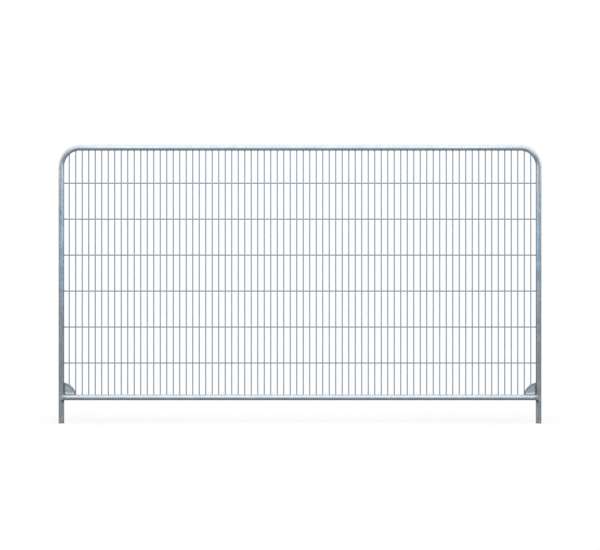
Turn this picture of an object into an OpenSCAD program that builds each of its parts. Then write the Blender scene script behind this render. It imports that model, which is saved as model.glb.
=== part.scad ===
// Temporary fence panel: a bent tube hoop with a bottom rail and a welded wire mesh.
// X runs along the panel, Y from front to back and Z up. The legs end at Z = 0.

/* [Panel] */
// Overall width over the two posts
panel_w = 3472; // [2400:1:3600]
// Overall height from the leg ends to the top of the hoop
panel_h = 2000; // [1500:1:2200]

/* [Frame tube] */
// Outside diameter of the frame tube
tube_od = 40; // [33.7:0.1:48.3]
// Wall thickness of the frame tube
tube_wall = 1.5; // [1:0.1:3]
// Centreline radius of the two top bends
bend_r = 132; // [100:1:200]
// Height of the bottom rail's axis above the leg ends
rail_z = 185; // [120:1:260]

/* [Wire mesh] */
// Diameter of the mesh wires
wire_d = 7; // [3:0.1:8]
// How far the weld presses two crossing wires together
set_down = 0.6; // [0.2:0.1:1]
// Number of upright wires
upright_n = 72; // [40:2:84]
// Number of row wires
row_n = 6; // [4:1:8]
// Space between a post and its nearest upright, as a share of the upright pitch
end_share = 0.778; // [0.5:0.001:1]
// Space between the rail and the lowest row, as a share of the row pitch
low_share = 0.878; // [0.5:0.001:1]
// Space between the highest row and the top tube, as a share of the row pitch
high_share = 0.902; // [0.8:0.001:1]

/* [Corner plates] */
// Radius of a plate's curved edge, about the crossing of the post and rail axes
plate_r = 110; // [90:1:120]
// Thickness of the plate's sheet
plate_t = 3; // [2:0.1:4]
// Depth of the pressed field
press_depth = 5.5; // [1:0.1:7]
// Flat rim between the field and the curved edge
arc_rim = 8.5; // [6:0.1:18]
// Flat rim between the field and the rail
rail_rim = 6; // [5:0.1:14]
// Flat rim between the field and the post
post_rim = 6; // [5:0.1:14]

/* [Hidden] */
$fn = 64;
// Root gap at every welded seat
root_gap = 0.05;
// How far a cutting shape runs past what it cuts
overrun = 1;
tube_finish = [0.63, 0.67, 0.70];
wire_finish = [0.60, 0.66, 0.71];
plate_finish = [0.57, 0.62, 0.66];

// Frame
tube_r = tube_od / 2;
bore_r = tube_r - tube_wall;
seat_r = tube_r + root_gap;
post_x = panel_w / 2 - tube_r;
top_z = panel_h - tube_r;
bend_x = post_x - bend_r;
bend_z = top_z - bend_r;

// Mesh
wire_r = wire_d / 2;
clear_w = 2 * (post_x - tube_r);
clear_h = top_z - rail_z - tube_od;
upright_pitch = clear_w / (upright_n - 1 + 2 * end_share);
row_pitch = clear_h / (row_n - 1 + low_share + high_share);
row_y = wire_d - set_down;
row_base = rail_z + tube_r + low_share * row_pitch;
pair_n = upright_n / 2;

// Corner plates, measured from the crossing of the post and rail axes
toe_x = post_x - upright_x(2) - wire_r - root_gap;
plate_face = plate_t / 2;
field_r = plate_r - arc_rim;
field_x = tube_r + post_rim;
field_z = tube_r + rail_rim;
// Extra reach of the field's back, which keeps the sheet's thickness along its 45 degree sides
press_spread = plate_t * (sqrt(2) - 1);

// Distance of an upright from the panel's middle, counted from the posts inwards
function upright_x(pair) = clear_w / 2 - (end_share + pair - 1) * upright_pitch;

// Height of a row's axis, counted from the rail upwards
function row_z(row) = row_base + (row - 1) * row_pitch;

// Height of the hoop's centreline over a place on the panel
function hoop_z(x) = x > bend_x ? bend_z + sqrt(bend_r ^ 2 - (x - bend_x) ^ 2) : top_z;

function two_digits(n) = str(n < 10 ? "0" : "", n);
function pair_name(pair) = str("upright_pair_", two_digits(pair));
function row_name(row) = str("row_wire_", row);

// A copy on the left and its mirror image on the right
module both_sides() {
    children();
    mirror([1, 0, 0]) children();
}

// A round bar along the panel, centred on its middle
module bar_along(r, length) {
    rotate([0, 90, 0]) cylinder(r = r, h = length, center = true);
}

// The two straight posts, which run past the leg ends by the given length
module posts(r, past = 0) {
    both_sides() translate([-post_x, 0, -past]) cylinder(r = r, h = bend_z + past);
}

// The two quarter bends and the straight top
module hoop_top(r) {
    both_sides()
        translate([bend_x, 0, bend_z])
            rotate([90, 0, 0])
                rotate_extrude(angle = 90) translate([bend_r, 0]) circle(r = r);
    translate([0, 0, top_z]) bar_along(r, 2 * bend_x);
}

module rail_bar(r) {
    translate([0, 0, rail_z]) bar_along(r, 2 * post_x);
}

// One tube, bent into posts and top
module frame_hoop() {
    color(tube_finish) difference() {
        union() {
            posts(tube_r);
            hoop_top(tube_r);
        }
        union() {
            posts(bore_r, overrun);
            hoop_top(bore_r);
        }
    }
}

// Tube with both ends coped round the posts
module bottom_rail() {
    color(tube_finish) difference() {
        rail_bar(tube_r);
        rail_bar(bore_r);
        posts(seat_r);
    }
}

// Half-space over a 45 degree side that faces the post
module post_side(reach, front) {
    translate([field_x - reach, front, 0])
        rotate([0, 0, -45])
            translate([0, -plate_r, 0]) cube([plate_r, 2 * plate_r, plate_r]);
}

// Half-space over a 45 degree side that faces the rail
module rail_side(reach, front) {
    translate([0, front, field_z - reach])
        rotate([45, 0, 0])
            translate([0, -plate_r, 0]) cube([plate_r, 2 * plate_r, plate_r]);
}

// The field's drafted form: its outline at the depth "front" is widened by "reach"
module press_form(front, reach, before) {
    r = field_r + reach;
    intersection() {
        translate([0, front - before, 0])
            rotate([-90, 0, 0])
                cylinder(r1 = r + before, r2 = r - press_depth, h = before + press_depth);
        post_side(reach, front);
        rail_side(reach, front);
    }
}

// Quarter-round blank, trimmed beside the second upright
module plate_blank() {
    intersection() {
        rotate([90, 0, 0]) cylinder(r = plate_r, h = plate_t, center = true);
        translate([0, -plate_t, 0]) cube([toe_x, 2 * plate_t, plate_r]);
    }
}

// Pressed gusset, coped to the post and the rail
module corner_plate() {
    color(plate_finish) difference() {
        translate([-post_x, 0, rail_z]) difference() {
            union() {
                plate_blank();
                press_form(plate_face, press_spread, plate_face);
            }
            press_form(-plate_face, 0, overrun);
        }
        posts(seat_r);
        rail_bar(seat_r);
    }
}

module left_corner_plate() {
    corner_plate();
}

module right_corner_plate() {
    mirror([1, 0, 0]) corner_plate();
}

// Curved edges of both corner plates, as cutters for the wires that land on them
module plate_edges() {
    both_sides()
        translate([-post_x, 0, rail_z])
            rotate([90, 0, 0]) cylinder(r = plate_r + root_gap, h = tube_od, center = true);
}

// Wire behind the uprights, with a saddle pressed in at each crossing
module row_wire(row) {
    color(wire_finish) difference() {
        translate([0, row_y, row_z(row)]) bar_along(wire_r, 2 * post_x);
        posts(seat_r);
        both_sides()
            for (pair = [1 : pair_n])
                translate([-upright_x(pair), 0, row_z(row)])
                    cylinder(r = wire_r + root_gap, h = 2 * wire_d, center = true);
    }
}

// Two uprights at the same distance from both posts, cut to fit the rail, the hoop and the plates
module upright_pair(pair) {
    x = upright_x(pair);
    color(wire_finish) difference() {
        both_sides() translate([-x, 0, rail_z]) cylinder(r = wire_r, h = hoop_z(x) - rail_z);
        rail_bar(seat_r);
        hoop_top(seat_r);
        if (pair == 1) plate_edges();
    }
}

frame_hoop();
bottom_rail();
left_corner_plate();
right_corner_plate();
for (row = [1 : row_n]) row_wire(row);
for (pair = [1 : pair_n]) upright_pair(pair);
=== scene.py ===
# Temporary fence panel: zinc finish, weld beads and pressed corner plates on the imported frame
import math
import random

import bpy
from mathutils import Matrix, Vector


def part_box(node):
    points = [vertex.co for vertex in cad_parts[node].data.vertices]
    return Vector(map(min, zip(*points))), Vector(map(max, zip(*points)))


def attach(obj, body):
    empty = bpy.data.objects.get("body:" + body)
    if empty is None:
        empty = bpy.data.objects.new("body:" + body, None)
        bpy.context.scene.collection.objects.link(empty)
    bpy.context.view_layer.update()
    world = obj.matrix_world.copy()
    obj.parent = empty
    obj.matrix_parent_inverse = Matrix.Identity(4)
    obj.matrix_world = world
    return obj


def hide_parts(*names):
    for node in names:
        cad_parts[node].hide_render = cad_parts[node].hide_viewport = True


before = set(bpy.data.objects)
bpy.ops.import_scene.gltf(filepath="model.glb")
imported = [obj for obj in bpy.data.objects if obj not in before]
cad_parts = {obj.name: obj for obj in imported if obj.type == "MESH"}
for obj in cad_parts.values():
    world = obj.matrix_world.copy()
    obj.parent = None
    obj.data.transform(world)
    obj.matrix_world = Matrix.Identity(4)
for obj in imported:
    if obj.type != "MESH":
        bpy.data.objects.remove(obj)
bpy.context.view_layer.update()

random.seed(11)
bpy.context.scene.view_settings.view_transform = "Standard"

# Sizes read from the frame, all in metres

hoopLow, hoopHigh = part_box("frame_hoop")
tubeRadius = hoopHigh.y
postX = hoopHigh.x - tubeRadius
topZ = hoopHigh.z - tubeRadius
railLow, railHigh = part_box("bottom_rail")
railZ = (railLow.z + railHigh.z) / 2
plateLow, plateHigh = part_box("left_corner_plate")

rowNames = sorted(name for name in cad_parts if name.startswith("row_wire"))
pairNames = sorted(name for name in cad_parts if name.startswith("upright_pair"))
rowBoxes = [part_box(name) for name in rowNames]
wireRadius = (rowBoxes[0][1].z - rowBoxes[0][0].z) / 2
rowZ = [(low.z + high.z) / 2 for low, high in rowBoxes]
rowPitch = rowZ[1] - rowZ[0]
rowY = (rowBoxes[0][0].y + rowBoxes[0][1].y) / 2
uprightX = [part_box(name)[1].x - wireRadius for name in pairNames]  # right-hand wire of each pair
uprightPitch = uprightX[0] - uprightX[1]
uprightCount = 2 * len(pairNames)
print("frame read:", len(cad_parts), "nodes,", uprightCount, "uprights,", len(rowNames), "rows")


# Modelling helpers

mergeDistance = 0.000001


def deselectAll():
    if bpy.context.object and bpy.context.object.mode != "OBJECT":
        bpy.ops.object.mode_set(mode="OBJECT")
    bpy.ops.object.select_all(action="DESELECT")


def makeActive(piece):
    deselectAll()
    piece.select_set(True)
    bpy.context.view_layer.objects.active = piece


def editAll(piece):
    makeActive(piece)
    bpy.ops.object.mode_set(mode="EDIT")
    bpy.ops.mesh.select_all(action="SELECT")


def applyPlace(piece):
    makeActive(piece)
    bpy.ops.object.transform_apply(location=True, rotation=True, scale=True)


def applyModifier(piece, kind, **settings):
    makeActive(piece)
    bpy.ops.object.modifier_add(type=kind)
    modifier = piece.modifiers[-1]
    for key, value in settings.items():
        setattr(modifier, key, value)
    bpy.ops.object.modifier_apply(modifier=modifier.name)


def copyPiece(piece):
    makeActive(piece)
    bpy.ops.object.duplicate()
    return bpy.context.object


def joinPieces(pieces, name):
    makeActive(pieces[0])
    for piece in pieces:
        piece.select_set(True)
    if len(pieces) > 1:
        bpy.ops.object.join()
    joined = bpy.context.object
    joined.name = name
    joined.data.name = name
    return joined


def cleanMesh(piece):
    editAll(piece)
    bpy.ops.mesh.remove_doubles(threshold=mergeDistance)
    bpy.ops.mesh.normals_make_consistent(inside=False)
    deselectAll()


def finishPiece(piece, name, material, smoothAngle):
    applyPlace(piece)
    cleanMesh(piece)
    makeActive(piece)
    bpy.ops.object.shade_smooth_by_angle(angle=math.radians(smoothAngle))
    piece.name = name
    piece.data.name = name
    piece.data.materials.clear()
    piece.data.materials.append(material)
    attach(piece, "root")


# Node helpers

def rgb(red, green, blue):
    return (red, green, blue, 1.0)


def newSurface(name):
    material = bpy.data.materials.new(name)
    material.use_nodes = True
    material.node_tree.nodes.clear()
    return material, material.node_tree


def addNode(tree, kind, feeds=None, **settings):
    made = tree.nodes.new(kind)
    for key, value in settings.items():
        setattr(made, key, value)
    for key, value in (feeds or {}).items():
        if isinstance(value, bpy.types.NodeSocket):
            tree.links.new(value, made.inputs[key])
        else:
            made.inputs[key].default_value = value
    return made


def calc(tree, operation, first, second=0.0):
    return addNode(tree, "ShaderNodeMath", {0: first, 1: second}, operation=operation).outputs[0]


def product(tree, first, *others):
    for factor in others:
        first = calc(tree, "MULTIPLY", first, factor)
    return first


def splitAxes(tree, vector):
    return addNode(tree, "ShaderNodeSeparateXYZ", {0: vector}).outputs


def distanceTo(tree, place, point):
    return addNode(tree, "ShaderNodeVectorMath", {0: place, 1: point}, operation="DISTANCE").outputs["Value"]


def remap(tree, value, fromRange, toRange):
    feeds = {"Value": value, "From Min": fromRange[0], "From Max": fromRange[1],
             "To Min": toRange[0], "To Max": toRange[1]}
    return addNode(tree, "ShaderNodeMapRange", feeds, interpolation_type="SMOOTHSTEP").outputs[0]


def blendValues(tree, factor, first, second):
    return addNode(tree, "ShaderNodeMix", {0: factor, 2: first, 3: second}, data_type="FLOAT").outputs[0]


def blendColours(tree, factor, first, second, blendType="MIX"):
    feeds = {0: factor, 6: first, 7: second}
    return addNode(tree, "ShaderNodeMix", feeds, data_type="RGBA", blend_type=blendType).outputs[2]


def noiseAt(tree, vector, scale, detail=3.0, roughness=0.55):
    feeds = {"Vector": vector, "Scale": scale, "Detail": detail, "Roughness": roughness}
    return addNode(tree, "ShaderNodeTexNoise", feeds).outputs["Fac"]


def streaks(tree, place, axis, along, across, detail=3.0, roughness=0.55):
    # noise drawn out along one axis: 0 is X and 2 is Z
    scale = [across] * 3
    scale[axis] = along
    stretched = addNode(tree, "ShaderNodeMapping", {"Vector": place, "Scale": scale}).outputs[0]
    return noiseAt(tree, stretched, 1.0, detail, roughness)


# Zinc finishes: the looks differ in tone, partly painted light and shade, in spangle and in painted corner
# shade, and share their layers

tubeLook = {
    "dull": rgb(0.160, 0.184, 0.208),
    "bright": rgb(0.218, 0.247, 0.274),
    "toneRange": (0.25, 0.75),
    "flakeShare": 0.22,             # how much of the tone follows the spangle, and not broad clouds
    "cloudScale": 11.0,
    "spangleSize": 0.008,
    "spangleWander": 0.7,           # how finely the spangle's edges wander, and how far
    "spanglePull": 0.5,
    "bloom": rgb(0.36, 0.385, 0.40),
    "bloomShare": 0.36,             # most that the bloom hides
    "bloomScale": 27.0,
    "bloomRange": (0.58, 0.80),
    # painted shade: the dark tone laid into corners and creases, under the rail joints and on the rail's
    # underside
    "shadeTone": rgb(0.030, 0.033, 0.037),
    "shadeReach": 0.022,            # how far the painted shade spreads out of a corner
    "shadeShare": 0.6,
    "shadeRange": (0.25, 0.80),
    "edge": rgb(0.90, 0.92, 0.95),  # tint of reflections at a grazing angle
    "metallic": 0.92,
    "roughness": (0.30, 0.44),
    "wearRange": (0.2, 0.8),
    "wearFlake": 0.45,              # how much of the roughness follows the spangle
    "grainSize": 0.0011,
    "grainShare": 0.5,              # how much of the bump is grain, and not spangle
    "bump": 0.10,
    "bumpDepth": 0.0006,
}

# painted light: the plates are a lighter copy of the tubes' zinc
litPlateLook = dict(
    tubeLook, dull=rgb(0.225, 0.262, 0.292), bright=rgb(0.315, 0.358, 0.390),
    roughness=(0.42, 0.58), shadeReach=0.014, shadeShare=0.8)

uprightLook = dict(
    tubeLook, dull=rgb(0.054, 0.123, 0.188), bright=rgb(0.150, 0.258, 0.354),
    bloom=rgb(0.22, 0.31, 0.38), bloomShare=0.15, edge=rgb(0.36, 0.49, 0.59),
    roughness=(0.40, 0.62), spangleSize=0.0022, flakeShare=0.50, grainSize=0.0007,
    topShade=rgb(0.048, 0.096, 0.136), topShadeShare=0.7,  # painted shade: darker towards the top
    linesAlong=30.0, linesAcross=900.0,              # lines left by drawing the wire
    linesRange=(0.52, 0.70), linesShare=0.6,
    burn=rgb(0.165, 0.270, 0.355), burnShare=0.75,   # heat marks beside the crossings
    burnReach=(0.005, 0.011), burnScale=300.0, burnRagged=0.006)

# painted shade: the rows are a darker copy of the uprights' zinc, against the light their upper sides catch
shadedRowLook = dict(
    uprightLook, dull=rgb(0.026, 0.062, 0.112), bright=rgb(0.072, 0.132, 0.198),
    bloom=rgb(0.13, 0.20, 0.26), edge=rgb(0.26, 0.44, 0.57),
    topShade=rgb(0.032, 0.078, 0.134), burn=rgb(0.130, 0.225, 0.315))

weldLook = dict(
    tubeLook, dull=rgb(0.165, 0.182, 0.196), bright=rgb(0.300, 0.322, 0.338),
    roughness=(0.34, 0.54), spangleSize=0.004, grainSize=0.0005, bump=0.22,
    shadeReach=0.010, shadeShare=0.7)

collarLook = dict(weldLook, dull=rgb(0.095, 0.140, 0.172), bright=rgb(0.165, 0.215, 0.250))

crossingLook = dict(weldLook, dull=rgb(0.135, 0.220, 0.295), bright=rgb(0.195, 0.300, 0.385))


def spangleCells(tree, place, look):
    cells = 1.0 / look["spangleSize"]
    feeds = {"Vector": place, "Scale": cells * look["spangleWander"]}
    wander = addNode(tree, "ShaderNodeTexNoise", feeds).outputs["Color"]
    feeds = {0: wander, "Scale": look["spanglePull"] / cells}
    pulled = addNode(tree, "ShaderNodeVectorMath", feeds, operation="SCALE").outputs[0]
    warped = addNode(tree, "ShaderNodeVectorMath", {0: place, 1: pulled}, operation="ADD").outputs[0]
    return addNode(tree, "ShaderNodeTexVoronoi", {"Vector": warped, "Scale": cells}).outputs


def zincBase(tree, look):
    place = addNode(tree, "ShaderNodeTexCoord").outputs["Object"]
    spangle = spangleCells(tree, place, look)
    flake = addNode(tree, "ShaderNodeSeparateColor", {0: spangle["Color"]}).outputs[0]
    cloud = noiseAt(tree, place, look["cloudScale"], detail=4.0)
    grain = noiseAt(tree, place, 1.0 / look["grainSize"], detail=2.0)
    tone = remap(tree, blendValues(tree, look["flakeShare"], cloud, flake), look["toneRange"], (0.0, 1.0))
    colour = blendColours(tree, tone, look["dull"], look["bright"])
    patches = noiseAt(tree, place, look["bloomScale"], detail=6.0, roughness=0.68)
    bloom = remap(tree, patches, look["bloomRange"], (0.0, look["bloomShare"]))
    colour = blendColours(tree, bloom, colour, look["bloom"])
    wear = blendValues(tree, look["wearFlake"], cloud, flake)
    rough = remap(tree, wear, look["wearRange"], look["roughness"])
    height = blendValues(tree, look["grainShare"], spangle["Distance"], grain)
    return place, colour, rough, height


# painted shade: darkening wherever ambient occlusion finds a corner, crease or crossing
def addPaintedShade(tree, colour, look):
    feeds = {"Distance": look["shadeReach"]}
    shelter = addNode(tree, "ShaderNodeAmbientOcclusion", feeds, samples=8).outputs["AO"]
    aoShade = remap(tree, shelter, look["shadeRange"], (look["shadeShare"], 0.0))
    return blendColours(tree, aoShade, colour, look["shadeTone"])


def finishSurface(tree, colour, rough, height, look, metallic=None):
    feeds = {"Height": height, "Strength": look["bump"], "Distance": look["bumpDepth"]}
    bump = addNode(tree, "ShaderNodeBump", feeds)
    shader = addNode(tree, "ShaderNodeBsdfPrincipled", {
        "Base Color": colour, "Roughness": rough, "Metallic": metallic or look["metallic"],
        "Specular Tint": look["edge"], "Normal": bump.outputs[0]})
    out = addNode(tree, "ShaderNodeOutputMaterial")
    tree.links.new(shader.outputs[0], out.inputs[0])


# Wear, painted light and painted shade on the hoop and the rail: heights and distances in metres, noise in
# waves a metre

flankLight = {
    "tint": rgb(0.40, 0.43, 0.46),
    "topShare": 0.42,           # how far the painted light covers the zinc
    "railShare": 0.65,
    "start": (-0.55, -0.25),    # lean of the surface, from -1 facing down to 1 facing up
    "topFade": (-0.10, 0.45),
    "topFadeShare": 0.15,        # what is left of it on the tops
    "railLift": 0.30,           # on the rail it starts higher up
    "undersideShade": (-0.55, -0.15),      # painted shade on the rail's underside
    "undersideShadeShare": 0.30,
}


def flankLightShare(tree, lean, onRail):
    # painted light: a paler, less metallic colour on the flanks of the level tubes, fading out towards their
    # tops
    flank = calc(tree, "SUBTRACT", lean, product(tree, onRail, flankLight["railLift"]))
    kept = remap(tree, flank, flankLight["start"], (0.0, 1.0))
    topFaded = remap(tree, flank, flankLight["topFade"], (1.0, flankLight["topFadeShare"]))
    most = remap(tree, onRail, (0.0, 1.0), (flankLight["topShare"], flankLight["railShare"]))
    return product(tree, kept, topFaded, most)


upperPostLight = {
    "tint": rgb(1.12, 1.28, 1.38),  # multiplies the zinc's colour
    "rise": (0.45, 1.35),           # heights between which it comes and goes
    "fade": (1.25, 1.75),
    "topShare": 0.2,                # what is left of it at the top
}


def lightenUpperPosts(tree, z, onPost, colour):
    # painted light: the posts are lightened and blued above their middle
    rise = remap(tree, z, upperPostLight["rise"], (0.0, 1.0))
    fade = remap(tree, z, upperPostLight["fade"], (1.0, upperPostLight["topShare"]))
    return blendColours(tree, product(tree, rise, fade, onPost), colour, upperPostLight["tint"], "MULTIPLY")


zincRuns = {
    "along": 9.0,
    "across": 150.0,
    "range": (0.50, 0.72),
    "share": 0.42,
}


def drawnRuns(tree, place, onPost, colour):
    # drawn-out runs in the zinc, upright on the posts and level on the top and the rail
    upright = streaks(tree, place, 2, zincRuns["along"], zincRuns["across"])
    level = streaks(tree, place, 0, zincRuns["along"], zincRuns["across"])
    runs = blendValues(tree, onPost, level, upright)
    runs = remap(tree, runs, zincRuns["range"], (0.0, zincRuns["share"]))
    return blendColours(tree, runs, colour, tubeLook["dull"])


jointHaloAndShadow = {
    "unevenScale": 60.0,
    "halo": (0.03, 0.055),      # distances where the fresh zinc round a joint thins and ends
    "haloUneven": 0.03,
    "haloShare": 0.35,
    "underShadow": (0.0084, 0.021),  # the same of the painted shadow under a joint
    "underShadowUneven": 0.0075,
    "underShadowShare": 0.95,
    "underShadowAside": 0.7,         # its place: share of the tube's radius, and drop below the rail
    "underShadowDrop": 0.003,
}


def haloAndShadowAtJoints(tree, place, colour):
    mirrored = addNode(tree, "ShaderNodeVectorMath", {0: place}, operation="ABSOLUTE").outputs[0]
    uneven = noiseAt(tree, place, jointHaloAndShadow["unevenScale"], detail=4.0)
    # fresh zinc round the two rail joints
    toJoint = distanceTo(tree, mirrored, (postX, 0.0, railZ))
    toJoint = calc(tree, "ADD", toJoint, product(tree, uneven, jointHaloAndShadow["haloUneven"]))
    fresh = remap(tree, toJoint, jointHaloAndShadow["halo"], (jointHaloAndShadow["haloShare"], 0.0))
    colour = blendColours(tree, fresh, colour, tubeLook["bloom"])
    # painted shadow on the post, in the corner under each rail joint
    aside = tubeRadius * jointHaloAndShadow["underShadowAside"]
    corner = (postX - aside, aside, railZ - tubeRadius - jointHaloAndShadow["underShadowDrop"])
    toCorner = distanceTo(tree, mirrored, corner)
    toCorner = calc(tree, "ADD", toCorner, product(tree, uneven, jointHaloAndShadow["underShadowUneven"]))
    shadowed = remap(tree, toCorner, jointHaloAndShadow["underShadow"], (jointHaloAndShadow["underShadowShare"], 0.0))
    return blendColours(tree, shadowed, colour, tubeLook["shadeTone"])


legMark = {
    "worn": (0.02, 0.16),       # heights where the scuffs thin and end
    "scuffAlong": 24.0,
    "scuffAcross": 420.0,
    "scuffRange": (0.52, 0.66),
    "scuffShare": 0.55,
    "lightSpot": (0.0099, 0.0171),    # distances where the lighter spot thins and ends
    "lightSpotHeight": 0.017,
    "lightSpotAlong": 90.0,
    "lightSpotAcross": 320.0,
    "lightSpotUneven": 0.016,
    "lightSpotShare": 0.85,
}


def legMarks(tree, place, z, colour):
    # scuffs on the legs, which are pushed in and out of feet
    low = remap(tree, z, legMark["worn"], (1.0, 0.0))
    scratches = streaks(tree, place, 2, legMark["scuffAlong"], legMark["scuffAcross"],
                        detail=4.0, roughness=0.7)
    scratches = remap(tree, scratches, legMark["scuffRange"], (0.0, legMark["scuffShare"]))
    colour = blendColours(tree, product(tree, low, scratches), colour, tubeLook["bloom"])
    # lighter spot at the end of the right leg
    uneven = streaks(tree, place, 2, legMark["lightSpotAlong"], legMark["lightSpotAcross"],
                     detail=5.0, roughness=0.7)
    toSpot = distanceTo(tree, place, (postX, -tubeRadius, legMark["lightSpotHeight"]))
    toSpot = calc(tree, "ADD", toSpot, product(tree, uneven, legMark["lightSpotUneven"]))
    lightened = remap(tree, toSpot, legMark["lightSpot"], (legMark["lightSpotShare"], 0.0))
    return blendColours(tree, lightened, colour, tubeLook["bloom"])


tubeBand = {
    "post": (0.05, 0.02),  # distances from a post's axis where its own wear and painted light start and are full
    "rail": (0.03, 0.10),  # heights over the rail's axis where its own painted light and painted shade thin and end
}


def tubeZinc():
    look = tubeLook
    material, tree = newSurface("tubeZinc")
    place, colour, rough, height = zincBase(tree, look)
    axes = splitAxes(tree, place)
    lean = splitAxes(tree, addNode(tree, "ShaderNodeNewGeometry").outputs["Normal"])[2]
    besidePost = [postX - reach for reach in tubeBand["post"]]
    onPost = remap(tree, calc(tree, "ABSOLUTE", axes[0]), besidePost, (0.0, 1.0))
    offPost = calc(tree, "SUBTRACT", 1.0, onPost)
    overRail = [railZ + reach for reach in tubeBand["rail"]]
    onRail = remap(tree, axes[2], overRail, (1.0, 0.0))

    # painted light on the flanks of the level tubes
    flankLit = product(tree, flankLightShare(tree, lean, onRail), offPost)
    colour = blendColours(tree, flankLit, colour, flankLight["tint"])
    # painted shade: the rail darkened on its underside
    below = remap(tree, lean, flankLight["undersideShade"], (flankLight["undersideShadeShare"], 0.0))
    colour = blendColours(tree, product(tree, below, onRail, offPost), colour, look["shadeTone"])
    colour = lightenUpperPosts(tree, axes[2], onPost, colour)
    colour = drawnRuns(tree, place, onPost, colour)
    colour = haloAndShadowAtJoints(tree, place, colour)
    colour = legMarks(tree, place, axes[2], colour)
    colour = addPaintedShade(tree, colour, look)
    finishSurface(tree, colour, rough, height, look, calc(tree, "SUBTRACT", look["metallic"], flankLit))
    return material


def wireZinc(name, look, along, firstCrossing, pitch):
    material, tree = newSurface(name)
    place, colour, rough, height = zincBase(tree, look)
    axes = splitAxes(tree, place)
    lines = streaks(tree, place, along, look["linesAlong"], look["linesAcross"])
    lines = remap(tree, lines, look["linesRange"], (0.0, look["linesShare"]))
    colour = blendColours(tree, lines, colour, look["dull"])
    # painted shade: the wires darkened towards the top
    high = remap(tree, axes[2], (railZ, topZ), (0.0, look["topShadeShare"]))
    colour = blendColours(tree, high, colour, look["topShade"])
    # heat marks beside each welded crossing
    toCrossing = calc(tree, "PINGPONG", calc(tree, "SUBTRACT", axes[along], firstCrossing), pitch / 2)
    uneven = noiseAt(tree, place, look["burnScale"])
    toCrossing = calc(tree, "ADD", toCrossing, product(tree, uneven, look["burnRagged"]))
    burnt = remap(tree, toCrossing, look["burnReach"], (look["burnShare"], 0.0))
    colour = blendColours(tree, burnt, colour, look["burn"])
    finishSurface(tree, colour, rough, height, look)
    return material


crease = {
    "fade": (0.010, 0.003),  # distances from the post's wall where the painted shade starts and is full
    "rise": 0.006,           # height over the rail where it is full
    "share": 0.55,
}


def creaseShade(tree, place, colour, look):
    # painted shade in the upright crease between a corner plate and its post
    axes = splitAxes(tree, place)
    besideWall = [postX - tubeRadius - reach for reach in crease["fade"]]
    near = remap(tree, calc(tree, "ABSOLUTE", axes[0]), besideWall, (0.0, crease["share"]))
    railTop = railZ + tubeRadius
    above = remap(tree, axes[2], (railTop, railTop + crease["rise"]), (0.0, 1.0))
    return blendColours(tree, product(tree, near, above), colour, look["shadeTone"])


def jointZinc(name, look):
    # for the corner plates and all weld metal, with painted shade in their corners and creases
    material, tree = newSurface(name)
    place, colour, rough, height = zincBase(tree, look)
    colour = addPaintedShade(tree, colour, look)
    colour = creaseShade(tree, place, colour, look)
    finishSurface(tree, colour, rough, height, look)
    return material


tubeFinish = tubeZinc()
plateFinish = jointZinc("plateZinc", litPlateLook)
uprightFinish = wireZinc("uprightZinc", uprightLook, 2, rowZ[0], rowPitch)
rowFinish = wireZinc("rowZinc", shadedRowLook, 0, uprightX[-1], uprightPitch)
weldFinish = jointZinc("weldZinc", weldLook)
collarFinish = jointZinc("collarZinc", collarLook)
crossingFinish = jointZinc("crossingZinc", crossingLook)


def dressNodes():
    for nodeName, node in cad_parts.items():
        finish = tubeFinish
        if nodeName in rowNames:
            finish = rowFinish
        elif nodeName in pairNames:
            finish = uprightFinish
        elif nodeName.endswith("corner_plate"):
            finish = plateFinish
        node.data.materials.clear()
        node.data.materials.append(finish)


dressNodes()
print("zinc finishes on", len(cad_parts), "nodes")


# Pressed corner plates

plate = {
    "radius": 0.110,      # curved edge, about the crossing of the post and rail axes
    "sheet": 0.003,
    "press": 0.0055,      # depth of the field
    "arcRim": 0.0085,
    "railRim": 0.006,
    "postRim": 0.006,
    "fieldCorner": 0.0125,
    "cornerSteps": 5,
    "cornerClear": 1.1,   # times the corner's round, where the outline is cleared of other points
    "samePlace": 0.0003,  # points closer than this count as one
    "edgeRound": 0.0009,
    "edgeSteps": 3,
    "edgeAngle": 28,      # degrees between faces from which an edge is rounded
    "smoothAngle": 35,
    "arcSteps": 112,
}


def cutPlane(piece, point, normal):
    editAll(piece)
    bpy.ops.mesh.bisect(plane_co=point, plane_no=normal, clear_inner=True)
    deselectAll()


def quarterFace(corner, radius, fromPost, fromRail):
    # flat face towards the front, trimmed beside the post and over the rail
    deselectAll()
    bpy.ops.mesh.primitive_circle_add(
        vertices=plate["arcSteps"], radius=radius, fill_type="NGON", rotation=(math.pi / 2, 0, 0),
        location=corner + Vector((0, -plate["sheet"] / 2, 0)))
    face = bpy.context.object
    applyPlace(face)
    cutPlane(face, corner + Vector((fromPost, 0, 0)), (1, 0, 0))
    cutPlane(face, corner + Vector((0, 0, fromRail)), (0, 0, 1))
    return face


def selectPoints(piece, wanted):
    editAll(piece)
    bpy.ops.mesh.select_all(action="DESELECT")
    bpy.ops.object.mode_set(mode="OBJECT")
    for point in piece.data.vertices:
        point.select = wanted(point.co)
    bpy.ops.object.mode_set(mode="EDIT")


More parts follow.
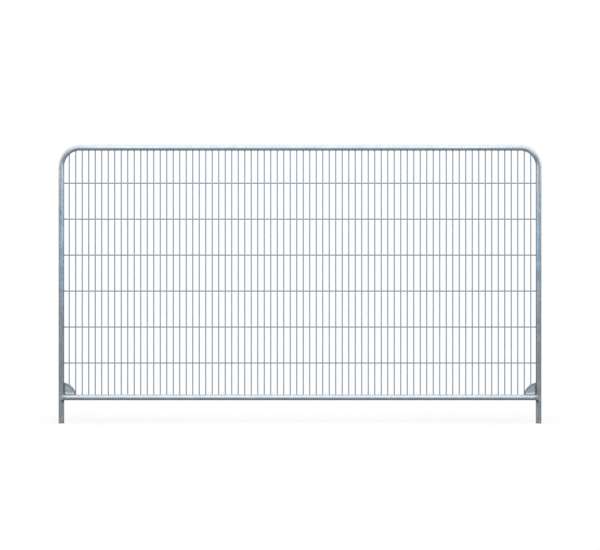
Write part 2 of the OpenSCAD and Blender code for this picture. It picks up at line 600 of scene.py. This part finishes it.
def roundFieldCorners(field, corner, radius, fromPost, fromRail):
    rise = math.sqrt(radius ** 2 - fromPost ** 2)
    reach = math.sqrt(radius ** 2 - fromRail ** 2)
    y = -plate["sheet"] / 2
    offsets = ((fromPost, y, fromRail), (fromPost, y, rise), (reach, y, fromRail))
    corners = [corner + Vector(offset) for offset in offsets]
    clearance = plate["fieldCorner"] * plate["cornerClear"]

    def besideCorner(place):
        return any(plate["samePlace"] < (place - point).length < clearance for point in corners)

    def atCorner(place):
        return any((place - point).length < plate["samePlace"] for point in corners)

    selectPoints(field, besideCorner)
    bpy.ops.mesh.dissolve_verts()
    selectPoints(field, atCorner)
    bpy.ops.mesh.bevel(offset=plate["fieldCorner"], segments=plate["cornerSteps"], affect="VERTICES")
    deselectAll()


def faceForward(sheet):
    # the field's floor looks to the front before the sheet gets its thickness
    floor = max(sheet.data.polygons, key=lambda polygon: polygon.center.y)
    if floor.normal.y > 0:
        editAll(sheet)
        bpy.ops.mesh.flip_normals()
        deselectAll()


def pressPlate():
    corner = Vector((-postX, 0, railZ))
    sheet = quarterFace(corner, plate["radius"], tubeRadius, tubeRadius)
    cutPlane(sheet, Vector((plateHigh.x, 0, 0)), (-1, 0, 0))  # toe, trimmed beside the second upright
    editAll(sheet)
    bpy.ops.mesh.delete(type="ONLY_FACE")

    fieldRadius = plate["radius"] - plate["arcRim"]
    fromPost = tubeRadius + plate["postRim"]
    fromRail = tubeRadius + plate["railRim"]
    field = quarterFace(corner, fieldRadius, fromPost, fromRail)
    roundFieldCorners(field, corner, fieldRadius, fromPost, fromRail)
    editAll(field)
    bpy.ops.mesh.inset(thickness=plate["press"], depth=-plate["press"], use_even_offset=True)

    pressed = joinPieces([sheet, field], "pressedPlate")
    editAll(pressed)
    bpy.ops.mesh.select_mode(type="EDGE")
    bpy.ops.mesh.select_all(action="DESELECT")
    bpy.ops.mesh.select_non_manifold()
    bpy.ops.mesh.fill()  # the flat rim between the two outlines
    bpy.ops.mesh.select_mode(type="VERT")
    cleanMesh(pressed)
    faceForward(pressed)
    applyModifier(pressed, "SOLIDIFY", thickness=plate["sheet"], offset=-1.0, use_even_offset=True)
    applyModifier(pressed, "BEVEL", width=plate["edgeRound"], segments=plate["edgeSteps"],
                  limit_method="ANGLE", angle_limit=math.radians(plate["edgeAngle"]))
    return pressed


def buildPlates():
    left = pressPlate()
    right = copyPiece(left)
    right.scale.x = -1
    for piece, side in ((left, "left"), (right, "right")):
        finishPiece(piece, side + "PressedPlate", plateFinish, plate["smoothAngle"])
        applyModifier(piece, "WEIGHTED_NORMAL", keep_sharp=True)
        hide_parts(side + "_corner_plate")
    print("corner plates pressed:", len(left.data.polygons), "faces each")


buildPlates()


# Weld beads at the rail joints and round the plates

bead = {
    "saddle": 0.0028,     # radius of the bead round a rail end
    "fillet": 0.0021,     # radius of the beads along a plate
    "ripplePitch": 0.0026,
    "ripple": 0.075,
    "waver": 0.055,
    "endShare": 0.45,     # how thin a run ends
    "stepsPerRipple": 4,
    "fewestSteps": 6,
    "sides": 2,
    "saddleLift": 0.25,   # shares of a bead's radius by which it stands off the pieces it joins
    "filletLift": 0.4,
    "filletProud": 0.35,
    "seamStretch": 1.2,   # length of the coped seam, as a share of a plain ring's
    "runStart": 0.004,    # gaps between a run's ends and the ends of the plate's edges
    "runStop": 0.006,
    "smoothAngle": 60,
}


def weldBead(route, radius, closed=False):
    deselectAll()
    bpy.ops.curve.primitive_nurbs_path_add(location=(0, 0, 0))
    run = bpy.context.object
    run.data.splines.clear()
    spline = run.data.splines.new("POLY")
    spline.points.add(len(route) - 1)
    spline.use_cyclic_u = closed
    for step, (point, place) in enumerate(zip(spline.points, route)):
        turn = 2 * math.pi * step / bead["stepsPerRipple"]
        point.co = (*place, 1.0)
        point.radius = 1 + bead["ripple"] * math.sin(turn) + random.uniform(-bead["waver"], bead["waver"])
    if not closed:
        for point in (spline.points[0], spline.points[-1]):
            point.radius = bead["endShare"]
    run.data.dimensions = "3D"
    run.data.bevel_depth = radius
    run.data.bevel_resolution = bead["sides"]
    run.data.use_fill_caps = True
    bpy.ops.object.convert(target="MESH")
    return bpy.context.object


def straightRoute(start, end):
    ripples = (end - start).length / bead["ripplePitch"]
    steps = max(bead["fewestSteps"], int(ripples * bead["stepsPerRipple"]))
    return [start.lerp(end, step / steps) for step in range(steps + 1)]


def saddleRoute():
    # round the rail's coped end, on the post's wall
    ring = tubeRadius + bead["saddle"] * bead["saddleLift"]
    ripples = round(2 * math.pi * tubeRadius * bead["seamStretch"] / bead["ripplePitch"])
    steps = ripples * bead["stepsPerRipple"]
    route = []
    for step in range(steps):
        turn = 2 * math.pi * step / steps
        y = ring * math.sin(turn)
        outward = math.sqrt(max(0.0, ring ** 2 - y ** 2))
        route.append(Vector((-postX + outward, y, railZ + ring * math.cos(turn))))
    return route


def buildRailWelds():
    left = weldBead(saddleRoute(), bead["saddle"], closed=True)
    right = copyPiece(left)
    right.scale.x = -1
    finishPiece(left, "leftRailWeld", weldFinish, bead["smoothAngle"])
    finishPiece(right, "rightRailWeld", weldFinish, bead["smoothAngle"])


def buildPlateWelds():
    inset = tubeRadius + bead["fillet"] * bead["filletLift"]
    proud = plate["sheet"] / 2 + bead["fillet"] * bead["filletProud"]
    runs = []
    for face in (-proud, proud):
        postStart = Vector((-postX + inset, face, railZ + tubeRadius + bead["runStart"]))
        postEnd = Vector((-postX + inset, face, plateHigh.z - bead["runStop"]))
        railStart = Vector((-postX + tubeRadius + bead["runStart"], face, railZ + inset))
        railEnd = Vector((plateHigh.x - bead["runStart"], face, railZ + inset))
        runs.append(weldBead(straightRoute(postStart, postEnd), bead["fillet"]))
        runs.append(weldBead(straightRoute(railStart, railEnd), bead["fillet"]))
    left = joinPieces(runs, "leftPlateWelds")
    right = copyPiece(left)
    right.scale.x = -1
    finishPiece(left, "leftPlateWelds", weldFinish, bead["smoothAngle"])
    finishPiece(right, "rightPlateWelds", weldFinish, bead["smoothAngle"])


buildRailWelds()
buildPlateWelds()
print("rail and plate welds laid")


# Small welds of the wire mesh

meshWeld = {
    "foot": wireRadius * 1.85,    # radius of a collar where a wire meets a tube
    "neck": wireRadius * 1.12,
    "rise": wireRadius * 1.3,
    "waistRise": 0.35,            # share of the rise where a collar's waist is
    "waistShare": 0.55,           # how far it has narrowed there from foot to neck
    "sides": 10,
    "sink": 0.0011,               # how far a collar's foot sits in the tube
    "nugget": wireRadius * 1.3,   # radius of the flash squeezed out at a crossing
    "nuggetFlat": 0.42,
    "nuggetSides": 8,
    "nuggetRings": 5,
    "uneven": 0.00022,
    "smoothAngle": 60,
    "bendRadius": 0.132,          # centreline of the hoop's bends
    "underBend": 2,               # outermost wires on each side that end under a bend
    "onPlate": 1,                 # outermost wires on each side that stand on a plate
}


def uprightCollar():
    # foot on the XY plane, neck up
    deselectAll()
    bpy.ops.mesh.primitive_circle_add(vertices=meshWeld["sides"], radius=meshWeld["foot"], fill_type="NGON")
    collar = bpy.context.object
    editAll(collar)
    narrowing = meshWeld["neck"] / meshWeld["foot"]
    waist = 1 + (narrowing - 1) * meshWeld["waistShare"]
    low = meshWeld["waistRise"]
    for share, shrink in ((low, waist), (1 - low, narrowing / waist)):
        bpy.ops.mesh.extrude_region_move(TRANSFORM_OT_translate={"value": (0, 0, meshWeld["rise"] * share)})
        bpy.ops.transform.resize(value=(shrink, shrink, 1))
    deselectAll()
    cleanMesh(collar)
    return collar


def placeCollar(pattern, place, direction):
    collar = copyPiece(pattern)
    direction = Vector(direction).normalized()
    collar.location = Vector(place) - direction * meshWeld["sink"]
    collar.rotation_euler = direction.to_track_quat("Z", "Y").to_euler()
    applyPlace(collar)
    return collar


def rowOfCopies(piece, count, offset):
    applyModifier(piece, "ARRAY", count=count, use_relative_offset=False, use_constant_offset=True,
                  constant_offset_displace=offset)


def roughen(piece, seed):
    editAll(piece)
    bpy.ops.transform.vertex_random(offset=meshWeld["uneven"], uniform=1.0, normal=0.0, seed=seed)
    deselectAll()


def bendUnderside(x):
    # point under the hoop's bend over a place on the panel, and the way it faces
    inner = meshWeld["bendRadius"] - tubeRadius
    across = x - (postX - meshWeld["bendRadius"])
    rise = math.sqrt(inner ** 2 - across ** 2)
    return topZ - meshWeld["bendRadius"] + rise, Vector((-across, 0, -rise))


def buildTopWelds(pattern):
    underside = topZ - tubeRadius
    bent = meshWeld["underBend"]
    straight = placeCollar(pattern, (-uprightX[bent], 0, underside), (0, 0, -1))
    rowOfCopies(straight, uprightCount - 2 * bent, (uprightPitch, 0, 0))
    pieces = [straight]
    for x in uprightX[:bent]:
        z, facing = bendUnderside(x)
        for side in (-1, 1):
            pieces.append(placeCollar(pattern, (side * x, 0, z), (side * facing.x, 0, facing.z)))
    welds = joinPieces(pieces, "topTubeWireWelds")
    roughen(welds, seed=3)
    finishPiece(welds, "topTubeWireWelds", collarFinish, meshWeld["smoothAngle"])


def buildRailWireWelds(pattern):
    raised = meshWeld["onPlate"]
    straight = placeCollar(pattern, (-uprightX[raised], 0, railZ + tubeRadius), (0, 0, 1))
    rowOfCopies(straight, uprightCount - 2 * raised, (uprightPitch, 0, 0))
    pieces = [straight]
    for x in uprightX[:raised]:
        across = postX - x
        rise = math.sqrt(plate["radius"] ** 2 - across ** 2)
        for side in (-1, 1):
            pieces.append(placeCollar(pattern, (side * x, 0, railZ + rise), (-side * across, 0, rise)))
    welds = joinPieces(pieces, "railWireWelds")
    roughen(welds, seed=4)
    finishPiece(welds, "railWireWelds", collarFinish, meshWeld["smoothAngle"])


def buildRowEndWelds(pattern):
    wall = math.sqrt(tubeRadius ** 2 - rowY ** 2)
    pieces = []
    for side in (-1, 1):
        ends = placeCollar(pattern, (side * (postX - wall), rowY, rowZ[0]), (-side, 0, 0))
        rowOfCopies(ends, len(rowZ), (0, 0, rowPitch))
        pieces.append(ends)
    welds = joinPieces(pieces, "rowEndWelds")
    roughen(welds, seed=5)
    finishPiece(welds, "rowEndWelds", collarFinish, meshWeld["smoothAngle"])


def buildCrossingWelds():
    for row, z in enumerate(rowZ):
        deselectAll()
        bpy.ops.mesh.primitive_uv_sphere_add(
            segments=meshWeld["nuggetSides"], ring_count=meshWeld["nuggetRings"],
            radius=meshWeld["nugget"], location=(-uprightX[0], rowY / 2, z))
        nugget = bpy.context.object
        nugget.scale.y = meshWeld["nuggetFlat"]
        applyPlace(nugget)
        rowOfCopies(nugget, uprightCount, (uprightPitch, 0, 0))
        roughen(nugget, seed=20 + row)
        name = "crossingWelds_" + str(row + 1)
        finishPiece(nugget, name, crossingFinish, meshWeld["smoothAngle"])


def buildMeshWelds():
    pattern = uprightCollar()
    buildTopWelds(pattern)
    buildRailWireWelds(pattern)
    buildRowEndWelds(pattern)
    bpy.data.objects.remove(pattern)
    buildCrossingWelds()
    print("mesh welds:", uprightCount * len(rowZ), "crossings")


buildMeshWelds()


# Studio: pale floor, white world, softboxes and the camera

studio = {
    "floorSize": 40.0,
    "shadowReach": (0.25, 0.9),  # distances from the panel where the shade starts to thin and ends
    "shadowShare": 0.35,
    "floorTone": 0.46,
    "worldLight": 0.5,
    # name, width and depth, place, aim and radiance of each softbox
    "lamps": (
        ("skyBox", (9.0, 8.4), (0.0, -2.2, 5.2), (0.0, -2.2, 0.0), 3.4),
        ("frontBox", (6.0, 2.4), (0.0, -6.0, 3.8), (0.0, 0.0, 1.6), 2.5),
        ("rightBox", (2.5, 1.4), (1.6, -2.2, 2.7), (0.0, -2.2, 2.7), 3.8),
        ("leftBox", (2.5, 1.4), (-1.6, -2.2, 2.7), (0.0, -2.2, 2.7), 3.8),
        ("farRightBox", (4.0, 2.4), (4.2, -0.6, 3.3), (0.0, -0.6, 3.3), 3.5),
        ("farLeftBox", (4.0, 2.4), (-4.2, -0.6, 3.3), (0.0, -0.6, 3.3), 3.5),
    ),
}


def seenDirectly(tree):
    # by the camera, or in a reflection
    path = addNode(tree, "ShaderNodeLightPath")
    seen = calc(tree, "MAXIMUM", path.outputs["Is Camera Ray"], path.outputs["Is Glossy Ray"])
    return calc(tree, "MAXIMUM", seen, path.outputs["Is Transmission Ray"])


def floorWhite():
    material, tree = newSurface("paleFloor")
    place = addNode(tree, "ShaderNodeTexCoord").outputs["Object"]
    axes = splitAxes(tree, place)
    aside = calc(tree, "SUBTRACT", calc(tree, "ABSOLUTE", axes[0]), postX)
    away = calc(tree, "ADD", calc(tree, "ABSOLUTE", axes[1]), calc(tree, "MAXIMUM", aside, 0.0))
    shaded = remap(tree, away, studio["shadowReach"], (studio["shadowShare"], 0.0))
    white = addNode(tree, "ShaderNodeEmission", {"Color": rgb(1, 1, 1), "Strength": 1.0})
    lit = addNode(tree, "ShaderNodeBsdfDiffuse", {"Color": rgb(*[studio["floorTone"]] * 3)})
    near = addNode(tree, "ShaderNodeMixShader", {0: shaded, 1: white.outputs[0], 2: lit.outputs[0]})
    feeds = {0: seenDirectly(tree), 1: lit.outputs[0], 2: near.outputs[0]}
    both = addNode(tree, "ShaderNodeMixShader", feeds)
    out = addNode(tree, "ShaderNodeOutputMaterial")
    tree.links.new(both.outputs[0], out.inputs[0])
    return material


def buildFloor():
    deselectAll()
    bpy.ops.mesh.primitive_plane_add(size=studio["floorSize"], location=(0, 0, 0))
    floor = bpy.context.object
    floor.name = "studioFloor"
    floor.data.materials.append(floorWhite())


def buildWorld():
    world = bpy.data.worlds.new("studioWorld")
    bpy.context.scene.world = world
    world.use_nodes = True
    tree = world.node_tree
    tree.nodes.clear()
    level = remap(tree, seenDirectly(tree), (0.0, 1.0), (studio["worldLight"], 1.0))
    background = addNode(tree, "ShaderNodeBackground", {"Color": rgb(1, 1, 1), "Strength": level})
    out = addNode(tree, "ShaderNodeOutputWorld")
    tree.links.new(background.outputs[0], out.inputs[0])


def softbox(name, size, place, aim, radiance):
    deselectAll()
    bpy.ops.object.light_add(type="AREA", location=place)
    lamp = bpy.context.object
    lamp.name = name
    lamp.rotation_euler = (Vector(aim) - Vector(place)).to_track_quat("-Z", "Y").to_euler()
    lamp.data.shape = "RECTANGLE"
    lamp.data.size, lamp.data.size_y = size
    lamp.data.energy = radiance * math.pi * size[0] * size[1]
    lamp.visible_camera = False


view = {
    "distance": 8.0,
    "eyeHeight": 1.0656,
    "pictureWidth": 4.3153,
    "sensor": 36.0,
    "clipEnd": 200.0,
}


def buildCamera():
    deselectAll()
    bpy.ops.object.camera_add(location=(0, -view["distance"], view["eyeHeight"]),
                              rotation=(math.pi / 2, 0, 0))
    camera = bpy.context.object
    camera.name = "photoCamera"
    camera.data.sensor_width = view["sensor"]
    camera.data.lens = view["sensor"] * view["distance"] / view["pictureWidth"]
    camera.data.clip_end = view["clipEnd"]
    bpy.context.scene.camera = camera


buildFloor()
buildWorld()
for lamp in studio["lamps"]:
    softbox(*lamp)
buildCamera()
print("studio ready")
